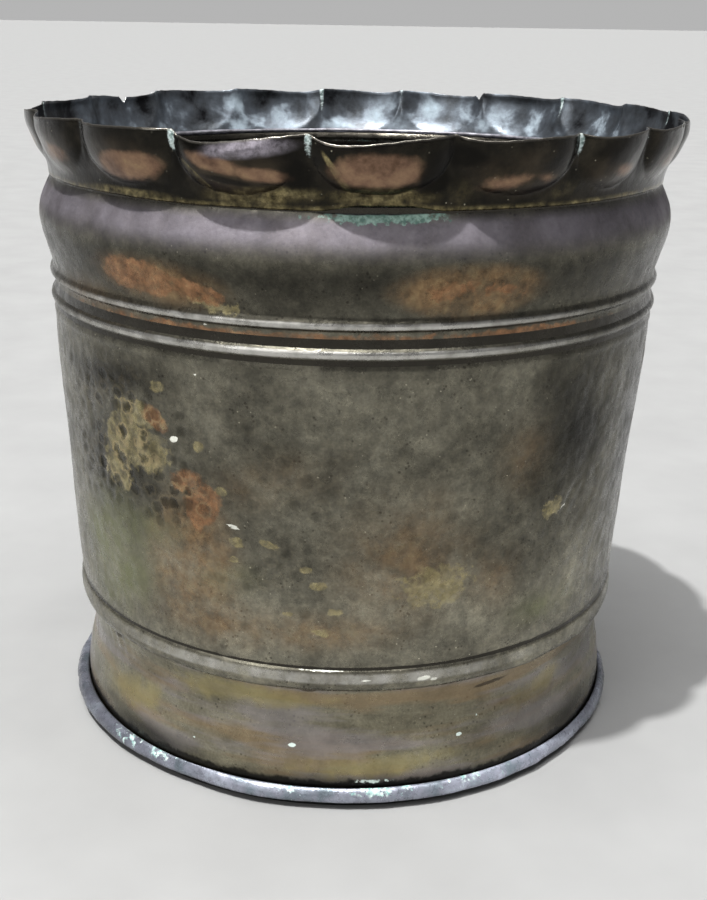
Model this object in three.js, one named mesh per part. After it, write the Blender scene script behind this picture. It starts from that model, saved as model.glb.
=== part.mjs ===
// A sheet-brass planter pot: a beaded and hammered drum on a flared foot band, closed below by a
// hemmed base pan and above by a flared collar that is crimped into scallops.
// Units are millimetres, +Z is up, and the origin is the middle of the underside.

import * as THREE from "three";

// --- Driving dimensions ---------------------------------------------------------------------

const SHEET = 0.8;              // thickness of the brass sheet
const COLLAR_SHEET = 0.7;       // the collar is cut from slightly thinner sheet
const PLAY = 0.4;               // clearance left between two lapped sheets
const RING_STEPS = 54;          // flats round the drum, foot and base
const CRIMPS = 18;              // pinches round the collar
const STEPS_PER_CRIMP = 6;      // flats from one pinch to the next
const FIRST_CRIMP_DEG = -7;     // the pinch nearest the front, measured from -Y towards +X
const SEAM_DEG = 250;           // the side seams, at the back left, measured the same way

const PLATE_RADIUS = 127.6;     // the flat bottom that the pot stands on
const LEDGE_BOTTOM = 3.8;       // underside of the base pan's raised edge
const HEM_RADIUS = 135.3;       // widest part of the folded hem
const HEM_TOP = 9.8;
const HEM_INNER_RADIUS = 133.0;

const FOOT_BOTTOM = 4.9;        // underside of the foot band's flange
const FLANGE_RADIUS = 134.1;
const FOOT_TOP = 63;
const FOOT_TOP_RADIUS = 131.2;

const DRUM_BOTTOM = 56;         // lower edge of the drum, which laps over the foot band
const LOW_BEAD_RADIUS = 133.5;
const PANEL_BOTTOM = new THREE.Vector2(133.3, 69);
const PANEL_TOP = new THREE.Vector2(140.3, 194);
const TWIN_BEADS = [204, 215];  // heights of the two raised rings under the shoulder
const BEAD_HALF_PITCH = 5.5;
const BEAD_PROUD = 1.3;
const SHOULDER_RADIUS = 145.45; // widest part of the drum
const SHOULDER_HEIGHT = 241;
const NECK_HEIGHT = 257.5;
const NECK_FLANGE_RADIUS = 139.3;
const NECK_FLANGE_TOP = 262.6;

const COLLAR_BOTTOM = 258.6;
const COLLAR_TOP = 284.5;       // mean height of the rim
const COLLAR_BOTTOM_RADIUS = 140.6;
const RIM_RADIUS = 148.2;       // mean radius of the rim
const RIM_SWING = 2.3;          // how far a bay stands out, and a pinch stands in
const RIM_LIFT = 1.9;           // how far a pinch stands up, and a bay dips

// --- Materials ------------------------------------------------------------------------------

function metal(color, roughness) {
  return new THREE.MeshStandardMaterial({ color, roughness, metalness: 1 });
}

const agedBrass = metal(0x6b5c3c, 0.42);
const darkBrass = metal(0x4d4332, 0.4);
const tinnedBrass = metal(0x7b828a, 0.45);
const solder = metal(0x8d9396, 0.55);

// --- Outlines -------------------------------------------------------------------------------
// An outline is a list of (radius, height) points. LatheGeometry turns it about the Y axis,
// and uprightRing then stands it on +Z.

const at = (radius, height) => new THREE.Vector2(radius, height);

// Points moved sideways by a distance, towards the axis for an outline that runs upwards.
function offset(points, distance) {
  return points.map((point, i) => {
    const before = points[Math.max(i - 1, 0)];
    const after = points[Math.min(i + 1, points.length - 1)];
    const along = after.clone().sub(before).normalize();
    return at(point.x - along.y * distance, point.y + along.x * distance);
  });
}

// The closed section of a sheet whose outer face follows the points.
function sheetSection(points, thickness) {
  return closed([...points, ...offset(points, thickness).reverse()]);
}

function closed(points) {
  return [...points, points[0].clone()];
}

function uprightRing(points, steps = RING_STEPS) {
  const geometry = new THREE.LatheGeometry(points, steps);
  geometry.rotateX(Math.PI / 2);
  return geometry;
}

// Radius of the plain tapered drum at a height, before beads and shoulder.
function taperRadius(height) {
  const share = (height - PANEL_BOTTOM.y) / (PANEL_TOP.y - PANEL_BOTTOM.y);
  return THREE.MathUtils.lerp(PANEL_BOTTOM.x, PANEL_TOP.x, share);
}

// --- The base pan: a stepped disc whose edge is folded up and back into a hem -----------------

function basePan() {
  const ledgeTop = LEDGE_BOTTOM + SHEET;
  const stepOut = 2.6;
  const returnBottom = FOOT_BOTTOM + SHEET + PLAY;
  const hemInside = HEM_RADIUS - SHEET;
  return uprightRing([
    at(0, 0),
    at(PLATE_RADIUS, 0),
    at(PLATE_RADIUS + stepOut, LEDGE_BOTTOM),
    at(HEM_RADIUS - 1, LEDGE_BOTTOM),
    at(HEM_RADIUS, LEDGE_BOTTOM + 1),
    at(HEM_RADIUS, HEM_TOP - 0.9),
    at(HEM_RADIUS - 0.6, HEM_TOP),
    at(HEM_INNER_RADIUS + 0.6, HEM_TOP),
    at(HEM_INNER_RADIUS, HEM_TOP - 0.8),
    at(HEM_INNER_RADIUS, returnBottom),
    at(HEM_INNER_RADIUS + SHEET, returnBottom),
    at(HEM_INNER_RADIUS + SHEET, HEM_TOP - SHEET),
    at(hemInside, HEM_TOP - SHEET),
    at(hemInside, ledgeTop),
    at(PLATE_RADIUS + stepOut - 0.3, ledgeTop),
    at(PLATE_RADIUS - 0.4, SHEET),
    at(0, SHEET),
  ]);
}

// --- The foot band: waisted, tucked up inside the drum, with a flange held by the hem ---------

function footOutline() {
  const waist = new THREE.SplineCurve([
    at(132.5, 12),
    at(130.9, 27),
    at(128.7, 41),
    at(130.0, 53),
    at(FOOT_TOP_RADIUS, FOOT_TOP),
  ]);
  return [
    at(FLANGE_RADIUS, FOOT_BOTTOM + SHEET),
    at(HEM_INNER_RADIUS - 0.2, FOOT_BOTTOM + SHEET),
    at(HEM_INNER_RADIUS - 0.6, FOOT_BOTTOM + 1.4),
    ...waist.getPoints(10),
  ];
}

function footBand() {
  return uprightRing(sheetSection(footOutline(), SHEET));
}

// --- The drum: low bead, hammered panel, twin beads, shoulder and neck flange -----------------

function twinBeadPoints() {
  const [low, high] = TWIN_BEADS;
  const points = [];
  for (let height = low - BEAD_HALF_PITCH; height <= high + BEAD_HALF_PITCH; height += 2.75) {
    const phase = ((height - low) / BEAD_HALF_PITCH) * Math.PI;
    const groove = (BEAD_PROUD * (1 - Math.cos(phase))) / 2;
    points.push(at(taperRadius(height) - groove, height));
  }
  return points;
}

function drumOutline() {
  const shoulder = new THREE.SplineCurve([
    at(142.2, 226),
    at(144.7, 235),
    at(SHOULDER_RADIUS, SHOULDER_HEIGHT),
    at(144.5, 247.5),
    at(141.8, 253.5),
    at(NECK_FLANGE_RADIUS + 0.5, NECK_HEIGHT),
  ]);
  return [
    at(LOW_BEAD_RADIUS - 1.5, DRUM_BOTTOM),
    at(LOW_BEAD_RADIUS - 0.5, DRUM_BOTTOM + 1.6),
    at(LOW_BEAD_RADIUS, DRUM_BOTTOM + 4),
    at(LOW_BEAD_RADIUS, DRUM_BOTTOM + 9),
    at(PANEL_BOTTOM.x - 0.3, PANEL_BOTTOM.y - 2.2),
    PANEL_BOTTOM,
    PANEL_TOP,
    ...twinBeadPoints(),
    ...shoulder.getPoints(9),
    at(NECK_FLANGE_RADIUS, NECK_HEIGHT + 1.4),
    at(NECK_FLANGE_RADIUS, NECK_FLANGE_TOP),
  ];
}

function drum() {
  return uprightRing(sheetSection(drumOutline(), SHEET));
}

// --- The collar: a flared strip round the neck flange, pinched at even steps -------------------

// 0 at a pinch and 1 in the middle of a bay, for an angle in degrees from the front.
function bayShare(angleDeg) {
  const turns = ((angleDeg - FIRST_CRIMP_DEG) * CRIMPS) / 360;
  return Math.abs(Math.sin(Math.PI * turns)) ** 0.7;
}

function crimp(geometry) {
  const place = geometry.attributes.position;
  for (let i = 0; i < place.count; i += 1) {
    const x = place.getX(i);
    const y = place.getY(i);
    const z = place.getZ(i);
    const radius = Math.hypot(x, y);
    const angleDeg = THREE.MathUtils.radToDeg(Math.atan2(x, -y));
    const share = (z - COLLAR_BOTTOM) / (COLLAR_TOP - COLLAR_BOTTOM);
    const rise = THREE.MathUtils.clamp(share, 0, 1) ** 1.6;
    const swing = 2 * bayShare(angleDeg) - 1;
    const scale = 1 + (RIM_SWING * rise * swing) / radius;
    place.setXYZ(i, x * scale, y * scale, z - RIM_LIFT * rise * swing);
  }
  geometry.computeVertexNormals();
  return geometry;
}

function collarOutline() {
  const flare = new THREE.SplineCurve([
    at(COLLAR_BOTTOM_RADIUS, COLLAR_BOTTOM),
    at(142.2, 264),
    at(145.6, 273),
    at(RIM_RADIUS, COLLAR_TOP),
  ]);
  return flare.getPoints(6);
}

function collar() {
  const ring = uprightRing(sheetSection(collarOutline(), COLLAR_SHEET), CRIMPS * STEPS_PER_CRIMP);
  ring.rotateZ(THREE.MathUtils.degToRad(FIRST_CRIMP_DEG));
  return crimp(ring);
}

// --- Solder that holds the laps --------------------------------------------------------------

function neckSolder() {
  const bottom = NECK_FLANGE_TOP + PLAY;
  return uprightRing(closed([
    at(NECK_FLANGE_RADIUS - SHEET, bottom),
    at(NECK_FLANGE_RADIUS + 1.3, bottom),
    at(NECK_FLANGE_RADIUS + 1.5, bottom + 1.6),
    at(NECK_FLANGE_RADIUS + 0.2, bottom + 1.7),
    at(NECK_FLANGE_RADIUS - 0.7, bottom + 1),
  ]));
}

function waistSolder() {
  const insideDrum = LOW_BEAD_RADIUS - SHEET - PLAY;
  const outsideFoot = FOOT_TOP_RADIUS + PLAY;
  return uprightRing(closed([
    at(outsideFoot, FOOT_TOP - 2),
    at(insideDrum, FOOT_TOP - 2),
    at(insideDrum, FOOT_TOP + 1.4),
    at(FOOT_TOP_RADIUS, FOOT_TOP + 1.2),
    at(FOOT_TOP_RADIUS - SHEET, FOOT_TOP + PLAY),
    at(outsideFoot, FOOT_TOP + PLAY),
  ]));
}

function baseSolder() {
  const floor = SHEET + PLAY;
  const outside = HEM_INNER_RADIUS - 0.6 - SHEET - PLAY;
  return uprightRing(closed([
    at(outside - 2.6, floor + 2.4),
    at(outside - 1.6, floor + 3.8),
    at(outside, floor + 3.8),
    at(outside, floor + 7.8),
    at(outside - 1.9, floor + 5),
  ]));
}

// A thin run of braze up the inside of a sheet, over the joint where its two ends meet.
function seamBraze(outline) {
  const width = 5;
  const thickness = 0.6;
  const face = offset(outline, SHEET + PLAY + 0.2);
  const section = [...face, ...offset(face, thickness).reverse()];
  const run = new THREE.ExtrudeGeometry(new THREE.Shape(section), {
    depth: width,
    bevelEnabled: false,
  });
  run.translate(0, 0, -width / 2);
  run.rotateX(Math.PI / 2);
  run.rotateZ(THREE.MathUtils.degToRad(SEAM_DEG - 90));
  return run;
}

function drumSeam() {
  const run = drumOutline().filter((point) => point.y > 67 && point.y < 250);
  return seamBraze(run);
}

function footSeam() {
  const run = footOutline().filter((point) => point.y > 14 && point.y < 60);
  return seamBraze(run);
}

// --- Assembly --------------------------------------------------------------------------------

function piece(name, geometry, material) {
  const mesh = new THREE.Mesh(geometry, material);
  mesh.name = name;
  return mesh;
}

const pot = new THREE.Group();
pot.add(
  piece("base_pan", basePan(), tinnedBrass),
  piece("base_solder", baseSolder(), solder),
  piece("foot_band", footBand(), agedBrass),
  piece("foot_seam_braze", footSeam(), solder),
  piece("waist_solder", waistSolder(), solder),
  piece("drum", drum(), agedBrass),
  piece("drum_seam_braze", drumSeam(), solder),
  piece("neck_solder", neckSolder(), solder),
  piece("crimped_collar", collar(), darkBrass),
);

export default pot;
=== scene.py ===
"""The looks of the brass planter pot: hand-worked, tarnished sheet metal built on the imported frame.

Lengths are written in millimetres and turned to metres when a mesh is made. A place on the wall is
an angle in degrees, from the front (-Y) towards the right (+X), and a height above the floor.
"""

import math

import bpy
import numpy as np
from mathutils import Euler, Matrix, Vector


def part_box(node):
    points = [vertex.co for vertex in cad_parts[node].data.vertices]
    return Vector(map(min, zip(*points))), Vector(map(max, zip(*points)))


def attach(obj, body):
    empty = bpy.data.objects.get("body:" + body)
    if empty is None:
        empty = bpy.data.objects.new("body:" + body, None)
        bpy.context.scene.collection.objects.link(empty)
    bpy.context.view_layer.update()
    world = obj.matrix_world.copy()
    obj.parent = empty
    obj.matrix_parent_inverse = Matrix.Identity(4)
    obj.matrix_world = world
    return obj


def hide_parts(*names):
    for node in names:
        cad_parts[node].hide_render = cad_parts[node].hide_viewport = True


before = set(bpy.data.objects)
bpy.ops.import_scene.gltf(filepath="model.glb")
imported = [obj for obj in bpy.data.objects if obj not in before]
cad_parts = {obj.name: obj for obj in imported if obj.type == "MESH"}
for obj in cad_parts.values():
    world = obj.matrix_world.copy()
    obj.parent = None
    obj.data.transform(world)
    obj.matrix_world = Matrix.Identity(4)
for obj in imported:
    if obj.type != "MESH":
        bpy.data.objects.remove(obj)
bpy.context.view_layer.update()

MM = 0.001
SHEET = 0.8
COLLAR_SHEET = 0.7
SEAM_DEG = 250  # the side seams and the collar's lap, out of the photo's sight behind the left side
LEAN = 0.011  # the whole pot leans to the right by this much of its height
MIDDLE_HEIGHT = 143

# Drum
DRUM_BOTTOM = 56.0
PANEL_BOTTOM = (69.0, 133.3)  # height, radius
PANEL_TOP = (194.0, 140.3)
NECK_HEIGHT = 257.5
NECK_FLANGE_RADIUS = 139.3
NECK_FLANGE_TOP = 262.6

# Foot and hem
FOOT_BOTTOM = 4.9
FOOT_TOP = 63.0
FOOT_FLANGE_RADIUS = 134.0
HEM_RADIUS = 135.4
HEM_TOP = 9.8

# Solder and braze
SOLDER_RUNS = [  # CAD node, lowest and highest, inner and outer radius, seed of its lumps
    ("neck_solder", 262.7, 264.9, 138.3, 140.9, 81),
    ("waist_solder", 61.0, 64.4, 130.4, 132.2, 84),
    ("base_solder", 1.3, 8.4, 128.6, 131.2, 87),
]
BRAZE_HALF_WIDTH_DEG = 1.05
BRAZE_DEPTH = 0.62
BRAZE_BACK = 0.25  # how far its back face is in the sheet

# Collar
COLLAR_BOTTOM = 258.6
RIM_HEIGHT = 286.0  # at a pinch
PINCHES = [-48, -28, -7, 14, 35, 52, 71, 92, 112, 131, 151, 170, 188, 208, 228, 248, 270, 291]
BAY_DEG = 20  # about
LOWEST_ACROSS = 0.27  # how far across a bay its rim is lowest
# In the bay after each pinch: how far the rim sinks, its lip rolls inwards and the sheet bulges.
EDGE_DIPS = [0.8, 3.6, 4.0, 2.0, 1.5, 1.8, 2.2, 1.4, 2.0, 1.6, 2.4, 1.8, 2.2, 1.5, 2.6, 1.9, 2.4, 2.0]
LIP_ROLLS = [0.5, 2.6, 0.9, 0.6, 0.3, 0.8, 1.2, 0.5, 0.9, 1.6, 0.6, 0.8, 1.1, 0.4, 0.9, 1.3, 0.7, 1.0]
BAY_DEPTHS = [5.8, 6.8, 7.0, 6.4, 6.0, 5.0, 5.0, 4.4, 4.8, 5.2, 4.6, 5.0, 4.6, 4.9, 4.5, 5.1, 4.8, 5.0]
# Notches in the rim: (angle, depth, half width in degrees).
RIM_NOTCHES = [(152, 2.6, 0.9), (236, 3.2, 1.1), (-27, 0.9, 0.7), (64, 1.0, 0.8)]
# How much pale crust each pinch carries.
CRUSTED = [0.5, 1.0, 0.85, 0.1, 1.0, 0.6, 0.3, 0.8, 0.4, 0.9, 0.2, 0.7, 1.0, 0.3, 0.6, 0.2, 0.8, 0.5]

# Camera, fitted to the rings of the pot in the photo
LENS_MM = 50.2
CAMERA_PLACE = (0, -0.5994, 0.326)  # in metres
LOOK_DOWN_DEG = 19.1
LOOK_RIGHT_DEG = 0.2
ROLL_DEG = 0.9

FLOOR_REACH = 45  # in metres, each way


# --- Number helpers ---------------------------------------------------------------------------


def smoothstep(value, low, high):
    share = np.clip((value - low) / (high - low), 0, 1)
    return share * share * (3 - 2 * share)


def smooth_curve(knots, at):
    """Values of a smooth curve through (place, value) knots."""
    places, values = np.array(knots, float).T
    slopes = np.gradient(values, places)
    at = np.clip(at, places[0], places[-1])
    i = np.clip(np.searchsorted(places, at) - 1, 0, len(places) - 2)
    width = places[i + 1] - places[i]
    t = (at - places[i]) / width
    start = (1 + 2 * t) * (1 - t) ** 2 * values[i] + t * (1 - t) ** 2 * width * slopes[i]
    end = t**2 * (3 - 2 * t) * values[i + 1] - t**2 * (1 - t) * width * slopes[i + 1]
    return start + end


def soft_noise(angle, height, cells_round, cell_height, seed):
    """Smooth random values from -1 to 1 over the wall, closed round the pot."""
    rng = np.random.default_rng(seed)
    rows = int(320 / cell_height) + 3
    lattice = rng.uniform(-1, 1, (rows, cells_round))
    u = (angle % 360) / 360 * cells_round
    v = np.clip(height, 0, 310) / cell_height
    column = np.floor(u).astype(int)
    row = np.floor(v).astype(int)
    across = smoothstep(u - column, 0, 1)
    up = smoothstep(v - row, 0, 1)
    right = (column + 1) % cells_round
    column = column % cells_round
    low = lattice[row, column] * (1 - across) + lattice[row, right] * across
    high = lattice[row + 1, column] * (1 - across) + lattice[row + 1, right] * across
    return low * (1 - up) + high * up


def rough_noise(angle, height, cells_round, cell_height, seed, layers=3):
    """Soft noise with finer and weaker layers added."""
    total = 0
    for layer in range(layers):
        finer = 2**layer
        total = total + soft_noise(
            angle, height, cells_round * finer, cell_height / finer, seed + layer
        ) / finer
    return total / 1.6


def turn_from(angle, middle):
    """Signed degrees from a middle angle, the short way round."""
    return (angle - middle + 180) % 360 - 180


def ovals(angle, height, places):
    """The strongest of some oval spots: its strength at its middle, falling evenly to 0 at its edge
    and below 0 beyond. A place is (angle, height, half width, half height, slant, strength)."""
    value = np.full(np.broadcast(angle, height).shape, -1.0)
    for middle, level, half_width, half_height, slant, strength in places:
        turn = turn_from(angle, middle)
        rise = height - level - slant * turn
        reach = np.hypot(turn / half_width, rise / half_height)
        value = np.maximum(value, strength * (1 - reach))
    return value


# --- Mesh helpers -----------------------------------------------------------------------------


def even_angles(count):
    return np.arange(count) * 360 / count


def front_loaded_angles(count):
    """Angles round the pot, about twice as close together on the front as on the back."""
    fine = np.linspace(0, 360, 7201)
    weight = 1 + 0.95 * smoothstep(np.abs(turn_from(fine, 0)), 105, 70)
    share = np.concatenate([[0], np.cumsum((weight[1:] + weight[:-1]) / 2)])
    return np.interp(np.arange(count) / count, share / share[-1], fine)


def place_object(name, data):
    made = bpy.data.objects.new(name, data)
    bpy.context.scene.collection.objects.link(made)
    return made


def place_mesh(name, points, faces):
    """A smooth mesh from points in mm."""
    mesh = bpy.data.meshes.new(name)
    mesh.from_pydata((points * MM).tolist(), [], faces)
    mesh.update()
    mesh.shade_smooth()
    return place_object(name, mesh)


def leaning_points(angle, radius, height):
    """Points at an angle in degrees, a radius and a height, with the pot's lean."""
    turn = np.radians(angle)
    across = radius * np.sin(turn) + LEAN * (height - MIDDLE_HEIGHT)
    parts = np.broadcast_arrays(across, -radius * np.cos(turn), height)
    return np.stack(parts, axis=-1).reshape(-1, 3)


def ring_mesh(name, angle, blocks, values, capped=False):
    """A mesh from rows of points round the pot. The rows go up the outside and down the inside and
    close on each other, or end at two middle points where capped. blocks lists the rows' radius
    and height arrays, in mm, and values holds a part for each block under each name."""
    radius = np.vstack([block[0] for block in blocks])
    height = np.vstack([block[1] for block in blocks])
    rows, columns = radius.shape
    points = leaning_points(angle, radius, height)
    first = np.arange(rows - 1 if capped else rows)
    row, column = np.meshgrid(first, np.arange(columns), indexing="ij")
    right = (column + 1) % columns
    above = (row + 1) % rows
    corners = [row * columns + column, row * columns + right, above * columns + right,
               above * columns + column]
    faces = np.stack(corners, axis=-1).reshape(-1, 4).tolist()
    if capped:
        here = np.arange(columns)
        there = np.roll(here, -1)
        for edge, one, other in ((0, there, here), (rows - 1, here, there)):
            middle = np.full(columns, len(points))
            points = np.vstack([points, leaning_points(0, 0, height[edge].mean())])
            fan = [middle, edge * columns + one, edge * columns + other]
            faces += np.stack(fan, axis=-1).tolist()
    made = place_mesh(name, points, faces)
    for key, parts in values.items():
        shaped = [np.broadcast_to(part, block[0].shape) for part, block in zip(parts, blocks)]
        full = np.vstack(shaped).astype(np.float32).ravel()
        if capped:
            full = np.concatenate([full, full[:1], full[-1:]])
        layer = made.data.attributes.new(key, "FLOAT", "POINT")
        layer.data.foreach_set("value", full)
    return made


def finish_piece(piece, node, material):
    """A piece that stands for one CAD node and rides on the pot's only body."""
    piece.data.materials.append(material)
    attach(piece, "root")
    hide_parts(node)
    return piece


# --- The drum ---------------------------------------------------------------------------------


def taper_radius(height):
    """Radius of the plain tapered panel between the low bead and the twin beads."""
    low, high = PANEL_BOTTOM, PANEL_TOP
    return low[1] + (height - low[0]) / (high[0] - low[0]) * (high[1] - low[1])


# Outlines are lists of (height, radius).
DRUM_OUTLINE = [
    (DRUM_BOTTOM, 131.9), (57.0, 133.1), (58.6, 133.9), (61.0, 134.3), (63.6, 134.2), (65.4, 133.9),
    (66.2, 133.6), (66.9, 132.9), (67.8, 133.0), (69.5, 133.4), (74.0, 133.6), (100.0, 135.1),
    (140.0, 137.3), PANEL_TOP, (205.0, 140.5), (216.0, 140.8), (222.0, 141.4), (228.0, 142.8),
    (235.0, 144.7), (241.0, 145.5), (247.5, 144.5), (253.5, 141.9), (NECK_HEIGHT, 139.9),
    (NECK_HEIGHT + 1.6, NECK_FLANGE_RADIUS), (NECK_FLANGE_TOP, NECK_FLANGE_RADIUS),
]
# The two raised rings under the shoulder and the faint ridge below them: height, change of radius.
TWIN_BEADS = [
    (193.0, 0.0), (196.0, 0.05), (198.0, 0.4), (200.0, 0.0), (201.4, -0.3), (202.6, 0.3), (203.6, 1.1),
    (204.6, 1.4), (205.6, 1.15), (207.0, 0.1), (208.2, -0.75), (210.5, -0.85), (213.0, -0.7),
    (213.8, -0.3), (214.4, 0.7), (215.2, 1.15), (216.0, 1.2), (217.0, 0.8), (218.4, -0.1),
    (220.0, -0.45), (222.5, -0.2), (226.0, 0.0),
]


def twin_beads(height):
    return smooth_curve(TWIN_BEADS, height)


def hammer_marks():
    """Places of the round hammer marks: (angle, height, radius, depth), all in mm but the angle."""
    rng = np.random.default_rng(11)
    marks = []
    # An even net of places, of which many are left out and the others are moved a little. The
    # marks are close and deep at the front left and in a part of the back, and less so low in the
    # middle of the front.
    for height in np.arange(75, 192, 7.6):
        for angle in np.arange(-180, 180, 3.3):
            deepest = -64 < angle < -27 and 124 < height < 186 or 130 < angle < 168
            middling = -27 <= angle < 2 and height < 150
            if rng.random() > (0.9 if deepest else 0.62 if middling else 0.36):
                continue
            place = angle + rng.uniform(-1.2, 1.2)
            level = height + rng.uniform(-2.8, 2.8)
            size = rng.uniform(3.0, 4.6)
            depth = rng.uniform(0.04, 0.2)
            if deepest:
                size, depth = rng.uniform(2.6, 4.2), rng.uniform(0.2, 0.6)
            elif middling:
                size, depth = rng.uniform(2.6, 4.4), 0.06 + 0.3 * rng.random() ** 2
            marks.append((place, level, size, depth))
    return marks


def press_marks(angle, height):
    """Depth of the hammer marks, and how far each point is inside one."""
    depth = np.zeros((len(height), len(angle)))
    inside = np.zeros_like(depth)
    for place, level, size, deep in hammer_marks():
        reach = 1.6 * size  # the raised lip round a mark ends here
        rows = np.nonzero(np.abs(height[:, 0] - level) < reach)[0]
        turn = turn_from(angle, place) * math.radians(taper_radius(level))
        columns = np.nonzero(np.abs(turn) < reach)[0]
        if not len(rows) or not len(columns):
            continue
        away = np.hypot(turn[columns][None, :], height[rows, :1] - level) / size
        bowl = np.clip(1 - away**2, 0, 1) ** 2
        lip = 0.28 * np.exp(-(((away - 1.08) / 0.24) ** 2))
        block = np.ix_(rows, columns)
        depth[block] += deep * (bowl - lip)
        shade = smoothstep(away, 1.0, 0.45) * deep / 0.5
        inside[block] = np.maximum(inside[block], shade)
    return depth, inside


def drum_dents(angle, height):
    """Slow hollows and swellings of the hand-raised sheet, and at the right a dent with a crease."""
    panel = smoothstep(height, 66, 80) * smoothstep(height, 200, 186)
    slow = 0.5 * soft_noise(angle, height, 20, 40, 21) + 0.26 * soft_noise(angle, height, 46, 18, 22)
    fine = 0.07 * rough_noise(angle, height, 150, 6, 23)
    shoulder = smoothstep(height, 222, 232)
    mild = 0.14 * soft_noise(angle, height, 14, 30, 24) * (1 - 0.5 * shoulder)
    turn = turn_from(angle, 43.5) - 0.25 * (height - 133)
    crease = -0.55 * np.exp(-((turn / 0.7) ** 2)) * smoothstep(np.abs(height - 133), 9, 4)
    dent = -0.9 * np.clip(1 - np.hypot(turn_from(angle, 47) / 6, (height - 127) / 13) ** 2, 0, 1) ** 2
    return panel * (slow + fine + crease + dent) + mild


def seam_step(angle):
    """The lapped side seam: one edge stands out, and falls back over a few degrees."""
    turn = turn_from(angle, SEAM_DEG)
    return 0.45 * smoothstep(turn, -0.25, 0.1) * smoothstep(turn, 7, 1)


def drum_rows():
    """Heights of the rows up the outside, closest where the beads and edges are."""
    parts = [
        np.linspace(56, 70, 29)[:-1],
        np.linspace(70, 194, 84)[:-1],
        np.linspace(194, 221, 51)[:-1],
        np.linspace(221, 258, 19)[:-1],
        np.linspace(258, NECK_FLANGE_TOP, 5),
    ]
    return np.concatenate(parts)


def drum_radius(angle, height):
    """Outer radius of the drum with its marks, and how far each point is inside a mark."""
    marks, inside = press_marks(angle, height)
    radius = smooth_curve(DRUM_OUTLINE, height) + twin_beads(height)
    radius = radius + drum_dents(angle, height) - marks
    radius = radius + seam_step(angle) * smoothstep(height, 258, 250)
    wave = 0.5 * soft_noise(angle, height, 40, 60, 31) * smoothstep(height, 60, 56)
    return radius + wave, inside


# Marks on the drum, each (angle, height, half width, half height, slant, strength).
COPPER_ON_DRUM = [
    (-36, 229, 10.5, 8.5, -0.25, 1.3),
    (-26, 226, 7, 5.0, -0.5, 1.0),
    (15, 230, 7, 6, 0.2, 0.5),
    (23, 229, 6, 5, 0.0, 0.45),
    (-29, 146, 4.5, 6, 0.4, 1.1),
    (-26, 136, 4.2, 13, 0.8, 1.2),
    (-35, 170, 3.6, 6.5, -0.8, 0.95),
    (-14, 210.5, 60, 3.4, 0.0, 0.55),
    (30, 210.5, 26, 3.4, 0.0, 0.55),
    (120, 230, 18, 9, 0.1, 0.8),
    (205, 120, 12, 26, -0.6, 0.8),
    (160, 208, 30, 2.6, 0.0, 0.5),
    (-110, 150, 9, 22, 0.8, 0.7),
]
# Softer reddish areas, with no edge of their own.
WARM_ON_DRUM = [
    (18, 229, 15, 13, 0.0, 1.6),
    (-33, 228, 17, 12, -0.15, 1.0),
    (-29, 108, 13, 44, 0.3, 1.0),
    (-24, 84, 22, 18, 0.0, 0.6),
    (10, 116, 18, 46, 0.2, 0.5),
    (27, 104, 9, 24, 0.0, 0.4),
    (31, 158, 8, 26, 0.0, 0.4),
    (-14, 150, 18, 20, 0.5, 0.3),
    (-5, 84, 24, 14, 0.0, 0.6),
    (-50, 214, 22, 14, 0.0, 0.4),
    (110, 120, 22, 50, 0.2, 0.7),
    (190, 100, 26, 40, -0.2, 0.7),
    (240, 160, 20, 36, 0.1, 0.6),
]
DIMPLES_ON_DRUM = [
    (-46, 158, 18, 40, 0.2, 1.9),
    (-34, 136, 13, 22, 0.0, 1.1),
    (-14, 108, 24, 40, 0.3, 0.5),
    (-8, 150, 34, 50, 0.0, 0.45),
    (24, 130, 24, 60, 0.0, 0.4),
    (150, 140, 24, 50, 0.0, 1.4),
    (205, 120, 24, 50, 0.0, 0.5),
]
GREEN_ON_DRUM = [
    (-50, 100, 17, 40, 0.3, 1.1),
    (-36, 120, 10, 16, 0.0, 0.6),
    (-22, 104, 10, 14, 0.3, 0.45),
    (40, 84, 14, 14, 0.0, 0.5),
    (140, 100, 22, 36, 0.0, 0.9),
    (-140, 110, 20, 40, 0.0, 0.8),
]
OLIVE_ON_DRUM = [
    (-39, 170, 7.5, 7.5, -0.2, 1.1),
    (-43, 158, 7.5, 13, 0.2, 1.3),
    (-37, 154, 6.0, 12, 0.3, 1.0),
    (-46, 142, 5.5, 12, -0.4, 0.9),
    (-22, 221, 7, 4, -0.3, 0.6),
    (16, 105, 8.5, 13, 0.1, 0.85),
    (39, 131, 3.0, 6, 0.3, 0.85),
    (-34, 184, 2.0, 3.4, 0.0, 1.0),
    (-26, 162, 1.6, 3.0, 0.0, 1.1),
    (-22, 144, 1.5, 2.8, 0.0, 1.0),
    (-19.5, 122, 1.9, 3.0, 0.0, 1.0),
    (-13.5, 123, 2.2, 2.0, -0.6, 1.1),
    (-20, 114, 1.2, 2.0, 0.0, 0.9),
    (-7, 113, 1.6, 2.2, 0.0, 1.0),
    (-5, 106, 1.8, 2.6, 0.0, 1.0),
    (-10, 92, 1.6, 2.0, 0.0, 0.8),
    (-2, 94, 2.0, 2.2, 0.0, 0.9),
    (-4, 84, 2.4, 2.4, 0.0, 0.8),
    (150, 100, 16, 30, 0.3, 0.9),
    (-130, 90, 18, 26, -0.3, 0.8),
    (185, 175, 10, 14, 0.2, 0.7),
]
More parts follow.
